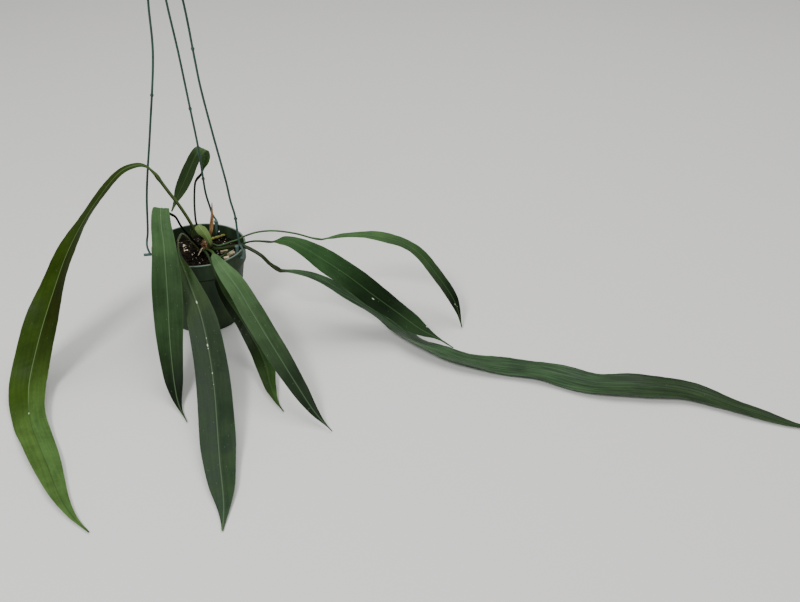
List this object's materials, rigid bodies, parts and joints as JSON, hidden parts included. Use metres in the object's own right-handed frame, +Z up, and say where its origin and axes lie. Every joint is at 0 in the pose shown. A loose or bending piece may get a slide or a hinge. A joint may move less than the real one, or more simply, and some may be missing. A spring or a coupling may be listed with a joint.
{
  "type": "potted anthurium vittariifolium",
  "caption": "Strap-leaved aroid with long narrow drooping leaves, in a thin round nursery pot with a moulded strand hanger and hook.",
  "frame": {"origin": "centre of the pot's flat underside, which stands on the table", "axes": "+Z up through the pot's axis, +X along the longest leaf, -Y towards the side that most leaves hang over"},
  "size_m": [0.8516, 0.4418, 0.546],
  "materials": {
    "pot_plastic": "satin, thin moulded",
    "potting_mix": "coarse, damp, matt",
    "crown_bark": "fibrous, matt",
    "dried_sheath": "papery, matt",
    "root_skin": "rough, matt",
    "leaf_skin": "leathery, satin",
    "leaf_skin_bright": "leathery, satin",
    "leaf_skin_young": "soft, satin",
    "hanger_plastic": "satin, flexible moulding"
  },
  "bodies": {
    "root": {"pot": "pot_plastic", "potting_mix": "potting_mix", "crown": "crown_bark", "cataphyll": "dried_sheath", "root_stub": "root_skin", "leaf_left_arch": "leaf_skin_bright", "leaf_front_left": "leaf_skin", "leaf_front_centre": "leaf_skin", "leaf_front_right": "leaf_skin", "leaf_front_low": "leaf_skin", "leaf_right_wide": "leaf_skin", "leaf_right_thin": "leaf_skin", "leaf_right_long": "leaf_skin", "leaf_back": "leaf_skin", "leaf_young": "leaf_skin_young", "hanger": "hanger_plastic"}
  },
  "joints": []
}
